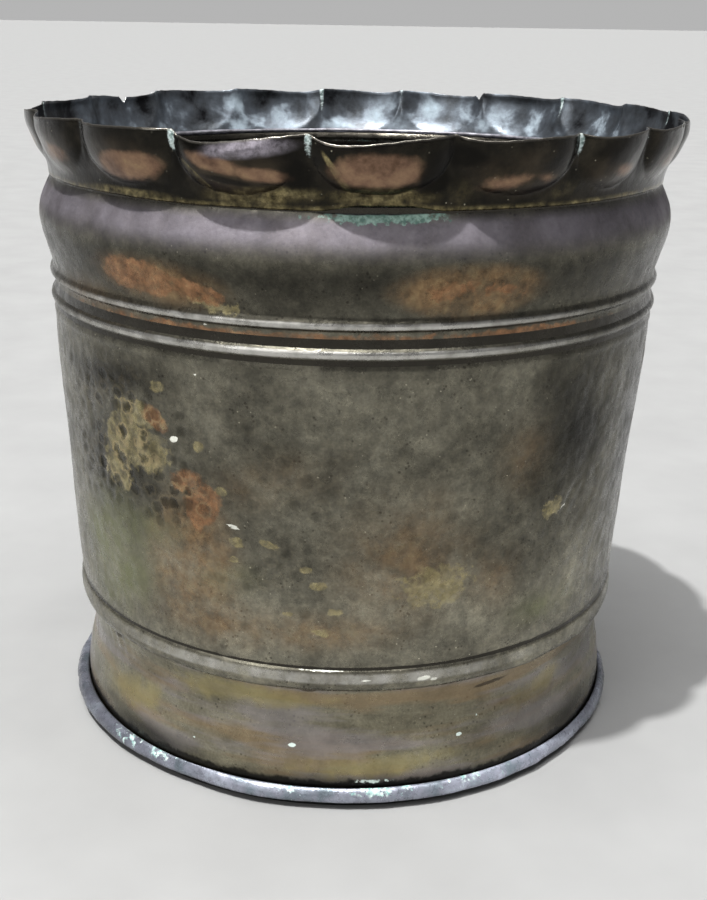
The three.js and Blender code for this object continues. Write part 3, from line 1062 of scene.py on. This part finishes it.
def tarnish(paint, dark, middle, light, size=26, stretch=(1, 1, 1), mottled=0.5):
    """The mottled brown-grey skin of old brass, with fine grain, pits and a few bright flecks."""
    broad = paint.noise(size, detail=8, rough=0.66, stretch=stretch, warp=0.2)
    paint.colour = paint.ramp(broad, (0.3, *dark), (0.5, *middle), (0.7, *light))
    mottle = paint.noise(4.5, detail=4, rough=0.6, shift=4)
    shade = paint.ramp(mottle, (0.34, 150, 150, 150), (0.5, 212, 210, 206), (0.64, 255, 252, 246))
    paint.cover(mottled, shade, how="MULTIPLY")
    grain = paint.remap(paint.noise(1.2, detail=3, rough=0.7, shift=14), 0.35, 0.65, 0.24, 0.0)
    paint.cover(grain, (30, 29, 26))
    rare = paint.remap(paint.noise(9, detail=2, shift=9), 0.5, 0.62)
    pits = paint.times(paint.remap(paint.cells(2.3, shift=7)[0], 0.14, 0.3, 1.0, 0.0), rare)
    paint.cover(pits, (36, 31, 26), 0.6)
    flecks = paint.times(paint.remap(paint.cells(3.1, shift=2)[0], 0.07, 0.13, 1.0, 0.0), rare)
    paint.cover(flecks, (186, 180, 160), 0.55)


def dimples(paint):
    """Small dark dimples round some of many scattered points, and their worn rims."""
    away, chance = paint.cells(7.6, shift=11)
    ragged = paint.remap(paint.noise(2.4, detail=4, shift=16), 0.3, 0.7, -0.07, 0.07)
    away = paint.plus(away, ragged)
    where = paint.times(paint.attribute("dimpled"), paint.remap(chance, 0.18, 0.36))
    inside = paint.remap(away, 0.24, 0.44, 1.0, 0.0)
    rim = paint.times(paint.remap(away, 0.36, 0.46), paint.remap(away, 0.46, 0.58, 1.0, 0.0))
    return paint.times(inside, where), paint.times(rim, where)


def drum_stains(paint):
    """Green, reddish, olive and copper patches on the drum. Returns where it is rubbed bare."""
    paint.cover(paint.soft_patch("green", 14, 0.75), (124, 126, 94))
    warm_tint = paint.ramp(
        paint.noise(5, detail=6, rough=0.7, shift=13),
        (0.34, 100, 78, 54), (0.5, 142, 114, 82), (0.68, 166, 142, 104),
    )
    paint.cover(paint.soft_patch("warm", 12, 0.62), warm_tint)
    olive = paint.patch("olive", 4, uneven=0.7, crisp=0.26, shift=2)
    olive = paint.times(olive, paint.remap(paint.noise(4, detail=6, rough=0.7), 0.36, 0.62, 0.35))
    olive_tint = paint.ramp(
        paint.noise(6, detail=6, rough=0.68, shift=3),
        (0.35, 124, 114, 80), (0.5, 158, 147, 108), (0.66, 184, 173, 134),
    )
    paint.cover(olive, olive_tint, 0.85)
    copper = paint.patch("copper", 6, uneven=0.6, crisp=0.28, shift=5)
    copper = paint.times(copper, paint.remap(paint.noise(5, detail=7, rough=0.7), 0.36, 0.6, 0.4))
    copper_tint = paint.ramp(
        paint.noise(6, detail=7, rough=0.7, shift=6),
        (0.32, 84, 62, 46), (0.45, 134, 98, 70), (0.58, 166, 124, 90), (0.7, 192, 156, 114),
    )
    paint.cover(copper, copper_tint, 0.88)
    return paint.maths("MAXIMUM", olive, copper)


def drum_material():
    paint = Paint("aged_drum_brass")
    tarnish(paint, (84, 82, 73), (110, 107, 95), (134, 131, 117))
    # Dust on the shoulder, its lighter lilac band also a painted sheen where the lamp falls.
    dust_and_sheen = paint.attribute("dust_and_sheen")
    lilac_dust_and_sheen = paint.ramp(paint.noise(18, detail=5), (0.35, 108, 103, 108), (0.65, 134, 129, 136))
    paint.cover(dust_and_sheen, lilac_dust_and_sheen, 0.9)
    # Painted light and shade: lighter low down, darker under the shoulder, with the skin's tone.
    paint.tone("tone")
    rubbed = drum_stains(paint)
    mark = paint.remap(paint.attribute("mark"), 0.1, 1.0, 0.0, 0.5)
    paint.cover(mark, (40, 38, 30))
    dimple, rim = dimples(paint)
    rim = paint.times(rim, paint.plus(rubbed, 0.15, clamp=True))
    paint.cover(rim, (178, 160, 122), 0.6)
    paint.cover(dimple, (36, 34, 27), 0.66)
    # Painted highlight along the bead crests.
    crest_highlight = paint.times(paint.attribute("crest_highlight"), paint.noise(9, detail=5, rough=0.65, shift=8))
    paint.cover(paint.remap(crest_highlight, 0.08, 0.6), (202, 200, 194), 0.85)
    crust = paint.patch("crust", 3.0, uneven=1.0, crisp=0.3, shift=1)
    crust_tint = paint.ramp(paint.noise(2, detail=4), (0.4, 88, 124, 112), (0.62, 158, 190, 178))
    paint.cover(crust, crust_tint, 0.85)
    # Painted black shade in the gap under the collar.
    paint.cover(paint.patch("gap", 4, uneven=0.3, crisp=0.3), (12, 11, 9))
    speck = paint.patch("speck", 2.0, uneven=0.4, crisp=0.1, shift=8)
    paint.cover(speck, (226, 226, 214))
    paint.cover(paint.attribute("lining"), (52, 49, 44), 0.85)
    covered = paint.maths("MAXIMUM", speck, crust)
    metallic = paint.times(paint.maths("SUBTRACT", 1.0, covered), 0.9)
    rough = paint.remap(paint.noise(10, detail=6, rough=0.62, shift=12), 0.35, 0.68, 0.2, 0.36)
    rough = paint.plus(rough, paint.remap(paint.noise(1.6, detail=3), 0.45, 0.7, 0.0, 0.08))
    rough = paint.plus(rough, dust_and_sheen, 0.42)
    rough = paint.plus(rough, covered, 0.3, clamp=True)
    grain = paint.plus(paint.noise(1.3, detail=5, rough=0.72), paint.noise(4, detail=4, shift=2))
    panel = paint.times(paint.noise(9, detail=2, rough=0.4, shift=19), paint.attribute("beaten"))
    panel = paint.plus(panel, dimple, -0.35)
    return paint.finish(metallic, rough, paint.bump(grain, 0.1, paint.bump(panel, 1.1)))


def collar_material():
    paint = Paint("aged_collar_brass")
    tarnish(paint, (24, 23, 20), (36, 34, 29), (56, 52, 44), size=14)
    # Painted reflection: a lighter oval in the middle of each bay.
    paint.cover(paint.soft_patch("bay_reflection", 8, 0.4), (80, 70, 56))
    band_tint = paint.ramp(
        paint.noise(4, detail=6, rough=0.7, shift=5),
        (0.34, 40, 36, 26), (0.5, 98, 89, 62), (0.68, 150, 138, 100),
    )
    # The olive band at the bottom, and painted highlights along the ridges by the pinches.
    paint.cover(paint.soft_patch("band", 5, 0.95), band_tint)
    worn = paint.patch("worn", 6, uneven=0.3, crisp=0.4, shift=6)
    worn_tint = paint.ramp(
        paint.noise(9, detail=7, rough=0.66, shift=9),
        (0.3, 78, 58, 46), (0.46, 120, 94, 76), (0.6, 144, 116, 92), (0.74, 160, 140, 102),
    )
    paint.cover(worn, worn_tint, 0.9)
    shadow = paint.patch("shadow", 5, uneven=0.3, crisp=0.5, shift=12)
    paint.cover(shadow, (18, 17, 14), 0.85)
    # Painted light on lips lit from above, made duller than the metal.
    lilac_dust_and_sheen = paint.soft_patch("lilac_dust_and_sheen", 5, 0.9)
    paint.cover(lilac_dust_and_sheen, (132, 126, 134))
    lining = paint.attribute("lining")
    cloud = paint.noise(15, detail=6, rough=0.58, shift=7, warp=0.2)
    cloud = paint.plus(cloud, paint.attribute("chalk"), 0.15)
    tin = paint.ramp(
        cloud,
        (0.28, 40, 40, 42), (0.42, 96, 100, 104), (0.58, 122, 130, 138), (0.84, 186, 203, 213),
    )
    paint.cover(lining, tin)
    crust = paint.times(paint.attribute("crust"), paint.noise(1.6, detail=6, rough=0.75))
    crust = paint.remap(crust, 0.24, 0.44)
    crust_tint = paint.ramp(
        paint.noise(1.4, detail=4, shift=3), (0.38, 120, 142, 138), (0.54, 214, 228, 226)
    )
    paint.cover(crust, crust_tint)
    # Painted highlight along the rim's rounded edge.
    paint.cover(paint.attribute("edge"), (168, 162, 150), 0.45)
    chalk = paint.times(paint.remap(cloud, 0.5, 0.76), lining)
    covered = paint.maths("MAXIMUM", crust, chalk)
    metallic = paint.plus(paint.remap(covered, 0.0, 1.0, 0.9, 0.15), lilac_dust_and_sheen, -0.5, clamp=True)
    rough = paint.remap(paint.noise(8, detail=6, rough=0.6, shift=2), 0.35, 0.7, 0.12, 0.25)
    rough = paint.plus(rough, lining, 0.18)
    rough = paint.plus(rough, covered, 0.4, clamp=True)
    grain = paint.plus(paint.noise(1.2, detail=4, rough=0.7), paint.noise(5, detail=3, shift=2))
    return paint.finish(metallic, rough, paint.bump(grain, 0.09))


def foot_material():
    paint = Paint("aged_foot_brass")
    tarnish(
        paint, (116, 111, 94), (140, 135, 115), (158, 154, 136),
        size=34, stretch=(0.5, 0.5, 2.6), mottled=0.25,
    )
    level = (0.45, 0.45, 3.0)  # long and flat, like the marks of wiping round the foot
    streak = paint.remap(paint.noise(34, detail=5, stretch=level, shift=5), 0.46, 0.62, 0.0, 0.5)
    paint.cover(streak, (148, 124, 92))
    violet = paint.remap(paint.noise(30, detail=5, stretch=level, shift=21), 0.46, 0.62, 0.0, 0.6)
    paint.cover(violet, (146, 140, 140))
    worn = paint.patch("worn", 14, uneven=0.6, crisp=0.5, shift=2)
    paint.cover(worn, (158, 146, 98), 0.6)
    # Painted shade over the hem, in the lap under the bead and at the right.
    paint.tone("tone")
    # Painted black shade in the crevice where the foot meets the hem.
    crevice_shade = paint.patch("crevice_shade", 9, uneven=0.8, crisp=0.4, shift=9)
    paint.cover(crevice_shade, (16, 15, 12), 0.9)
    smear = paint.patch("smear", 5, uneven=0.35, crisp=0.2, shift=4)
    paint.cover(smear, (48, 38, 26), 0.75)
    speck = paint.patch("speck", 2.2, uneven=0.4, crisp=0.12, shift=6)
    paint.cover(speck, (206, 220, 212))
    paint.cover(paint.attribute("lining"), (60, 56, 48), 0.85)
    metallic = paint.remap(speck, 0.0, 1.0, 0.84, 0.0)
    rough = paint.remap(paint.noise(14, detail=6, shift=12), 0.35, 0.7, 0.24, 0.42)
    rough = paint.plus(rough, speck, 0.3, clamp=True)
    grain = paint.plus(paint.noise(1.3, detail=5, rough=0.72), paint.noise(5, detail=3, shift=2))
    return paint.finish(metallic, rough, paint.bump(grain, 0.12))


def base_material():
    paint = Paint("tinned_base_metal")
    paint.colour = paint.ramp(
        paint.noise(12, detail=4, warp=0.3),
        (0.32, 110, 120, 128), (0.5, 138, 140, 152), (0.68, 166, 172, 184),
    )
    dull = paint.remap(paint.noise(2.2, detail=5, rough=0.7, shift=3), 0.48, 0.66)
    paint.cover(dull, (80, 84, 86), 0.3)
    # Painted light on the hem: a highlight at the front right, shade at the sides.
    paint.tone("tone")
    crust = paint.patch("crust", 3.2, uneven=1.0, crisp=0.25, shift=5)
    crust_tint = paint.ramp(
        paint.noise(1.6, detail=5, shift=6), (0.35, 104, 156, 150), (0.6, 204, 220, 214)
    )
    paint.cover(crust, crust_tint)
    # Painted near-black shade under the pan and hem and in the crevice at the hem's top.
    black_shade = paint.attribute("black_shade")
    paint.cover(black_shade, (14, 13, 12))
    metallic = paint.remap(crust, 0.0, 1.0, 0.5, 0.0)
    metallic = paint.maths("SUBTRACT", metallic, black_shade, clamp=True)
    rough = paint.remap(paint.noise(4, detail=5, shift=9), 0.35, 0.7, 0.2, 0.42)
    rough = paint.plus(rough, crust, 0.3)
    rough = paint.plus(rough, black_shade, 0.5, clamp=True)
    grain = paint.plus(paint.noise(1.4, detail=5, rough=0.75), paint.noise(4, detail=3, shift=2))
    return paint.finish(metallic, rough, paint.bump(grain, 0.14))


def run_material(name, size, dark, middle, light, metallic, smoothest):
    """The lumpy skin of a run of solder or braze."""
    paint = Paint(name)
    cloud = paint.noise(size, detail=5, rough=0.6)
    paint.colour = paint.ramp(cloud, (0.3, *dark), (0.5, *middle), (0.7, *light))
    rough = paint.remap(paint.noise(3, detail=4, shift=3), 0.35, 0.7, smoothest, 0.6)
    return paint.finish(metallic, rough, paint.bump(paint.noise(1.6, detail=4), 0.2))


def solder_material():
    return run_material("old_solder", 6, (80, 79, 82), (122, 120, 126), (158, 158, 164), 0.6, 0.3)


def braze_material():
    return run_material("seam_braze", 5, (84, 70, 48), (124, 104, 68), (150, 130, 88), 0.8, 0.35)


# --- Camera, light and floor ------------------------------------------------------------------


def make_camera():
    data = bpy.data.cameras.new("camera")
    data.lens = LENS_MM
    data.sensor_width = 36
    data.clip_end = 100
    camera = place_object("camera", data)
    camera.location = CAMERA_PLACE
    camera.rotation_mode = "XYZ"
    aim = Euler((math.radians(90 - LOOK_DOWN_DEG), 0, math.radians(-LOOK_RIGHT_DEG))).to_matrix()
    roll = Euler((0, 0, math.radians(ROLL_DEG))).to_matrix()
    camera.rotation_euler = (aim @ roll).to_euler()
    bpy.context.scene.camera = camera


def make_sun(name, energy, spread, towards):
    data = bpy.data.lights.new(name, "SUN")
    data.energy = energy
    data.angle = math.radians(spread)
    sun = place_object(name, data)
    sun.rotation_mode = "QUATERNION"
    sun.rotation_quaternion = Vector(towards).to_track_quat("-Z", "Y")


def make_light():
    """A small lamp above, whose shadow falls to the back right, a broad one overhead, and a weak
    soft box at the front left."""
    make_sun("key_lamp", energy=4.4, spread=1.6, towards=(0.22, 0.22, -1.0))
    make_sun("broad_overhead", energy=3.2, spread=50, towards=(0.0, 0.1, -1.0))
    data = bpy.data.lights.new("front_box", "AREA")
    data.energy = 5
    data.size = 0.8
    box = place_object("front_box", data)
    box.location = (-0.9, -1.3, 1.0)
    box.rotation_mode = "QUATERNION"
    box.rotation_quaternion = (Vector((0, 0, 0.15)) - box.location).to_track_quat("-Z", "Y")


def make_world():
    world = bpy.data.worlds.new("studio")
    world.use_nodes = True
    nodes, links = world.node_tree.nodes, world.node_tree.links
    nodes.clear()
    where = nodes.new("ShaderNodeTexCoord")
    split = nodes.new("ShaderNodeSeparateXYZ")
    ramp = nodes.new("ShaderNodeValToRGB")
    sky = nodes.new("ShaderNodeBackground")
    output = nodes.new("ShaderNodeOutputWorld")
    links.new(where.outputs["Generated"], split.inputs["Vector"])
    links.new(split.outputs["Z"], ramp.inputs["Fac"])
    links.new(ramp.outputs["Color"], sky.inputs["Color"])
    links.new(sky.outputs["Background"], output.inputs["Surface"])
    elements = ramp.color_ramp.elements
    elements[0].position, elements[0].color = 0.02, (0.46, 0.46, 0.46, 1)
    elements[1].position, elements[1].color = 0.2, (0.2, 0.2, 0.21, 1)
    bpy.context.scene.world = world


def make_floor():
    mesh = bpy.data.meshes.new("floor")
    corners = [(-1, -1), (1, -1), (1, 1), (-1, 1)]
    mesh.from_pydata([(x * FLOOR_REACH, y * FLOOR_REACH, 0) for x, y in corners], [], [[0, 1, 2, 3]])
    paint = Paint("pale_floor")
    paint.colour = paint.ramp(paint.noise(60, detail=3), (0.3, 139, 139, 138), (0.7, 145, 145, 144))
    mesh.materials.append(paint.finish(0.0, 0.7))
    floor = place_object("floor", mesh)


# --- Everything together ----------------------------------------------------------------------


def drum_wall(angle, height):
    return drum_radius(angle, height * np.ones_like(angle))[0]


make_camera()
make_light()
make_world()
make_floor()
solder = solder_material()
braze = braze_material()
make_drum(drum_material())
make_collar(collar_material())
make_foot(foot_material())
make_base(base_material())
for node, bottom, top, inner, outer, seed in SOLDER_RUNS:
    solder_ring(f"{node}_run", node, bottom, top, inner, outer, seed, solder)
seam_braze("drum_braze_run", "drum_seam_braze", drum_wall, braze)
seam_braze("foot_braze_run", "foot_seam_braze", foot_radius, braze)
bpy.context.scene.view_settings.view_transform = "Standard"
